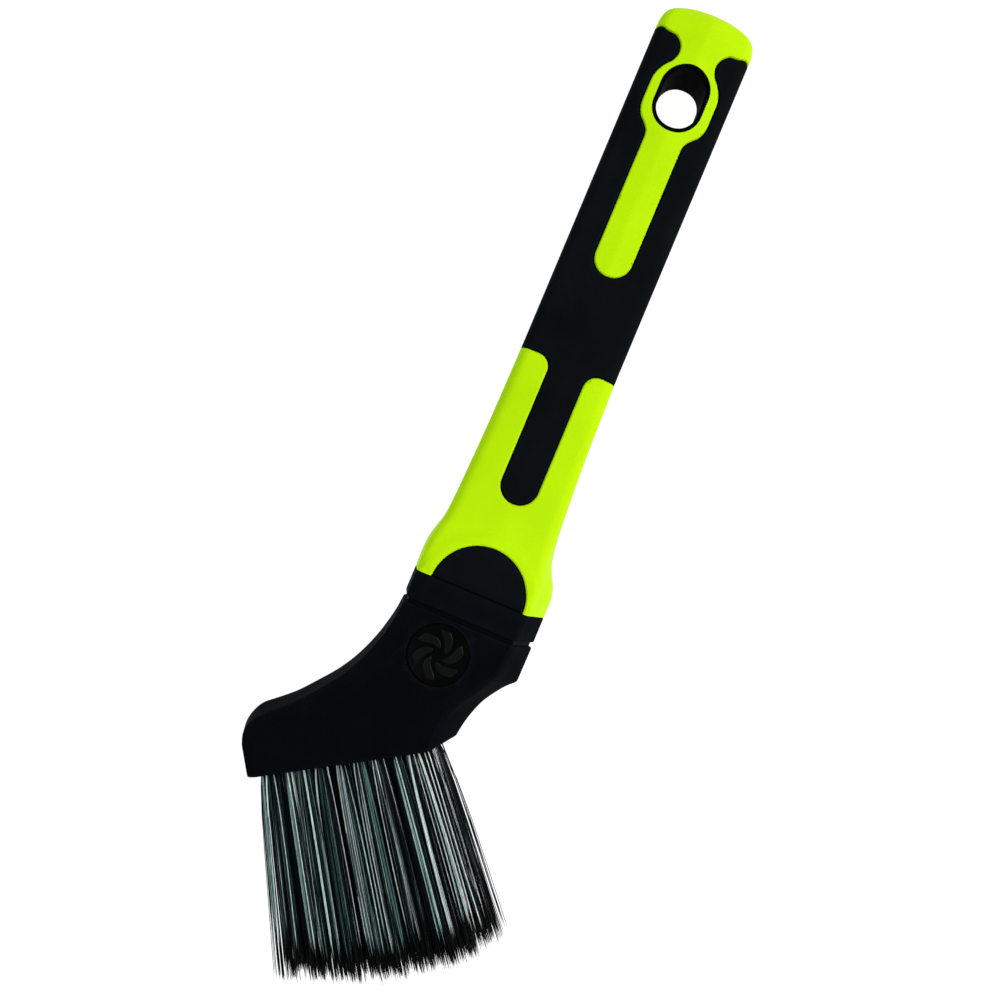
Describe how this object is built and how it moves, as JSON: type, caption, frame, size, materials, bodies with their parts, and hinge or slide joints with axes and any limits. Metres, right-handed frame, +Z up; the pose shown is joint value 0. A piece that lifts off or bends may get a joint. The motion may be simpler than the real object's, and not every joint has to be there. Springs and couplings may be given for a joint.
{
  "type": "wheel brush",
  "caption": "Hand brush for car wheels: straight two-colour grip with a hang hole, angled black head, and a dense block of mixed dark and silver bristles.",
  "frame": {"origin": "centre of the bounding box in plan, on the plane of the head's flat back face", "axes": "+X along the handle towards the hang hole end, +Z up out of the front face, which carries the badge; the bristles point to -X and -Y"},
  "size_m": [0.2918, 0.0888, 0.0302],
  "materials": {
    "lime_plastic": "satin, fine grain",
    "grip_rubber": "matt, fine grain",
    "head_plastic": "matt moulded",
    "badge_plastic": "low gloss",
    "block_plastic": "matt",
    "bristle_fibre": "mixed dark and silver synthetic filament",
    "anchor_wire": "drawn wire"
  },
  "bodies": {
    "root": {"handle_body": "lime_plastic", "grip_sleeve": "grip_rubber", "hang_hole_liner": "grip_rubber", "neck_pad_front": "grip_rubber", "neck_pad_back": "grip_rubber", "collar": "head_plastic", "head_shell": "head_plastic", "badge_disc": "badge_plastic", "bristle_block": "block_plastic", "tuft_anchors": "anchor_wire", "tuft_row_1": "bristle_fibre", "tuft_row_2": "bristle_fibre", "tuft_row_3": "bristle_fibre", "tuft_row_4": "bristle_fibre", "tuft_row_5": "bristle_fibre", "tuft_row_6": "bristle_fibre", "tuft_row_7": "bristle_fibre"}
  },
  "joints": []
}
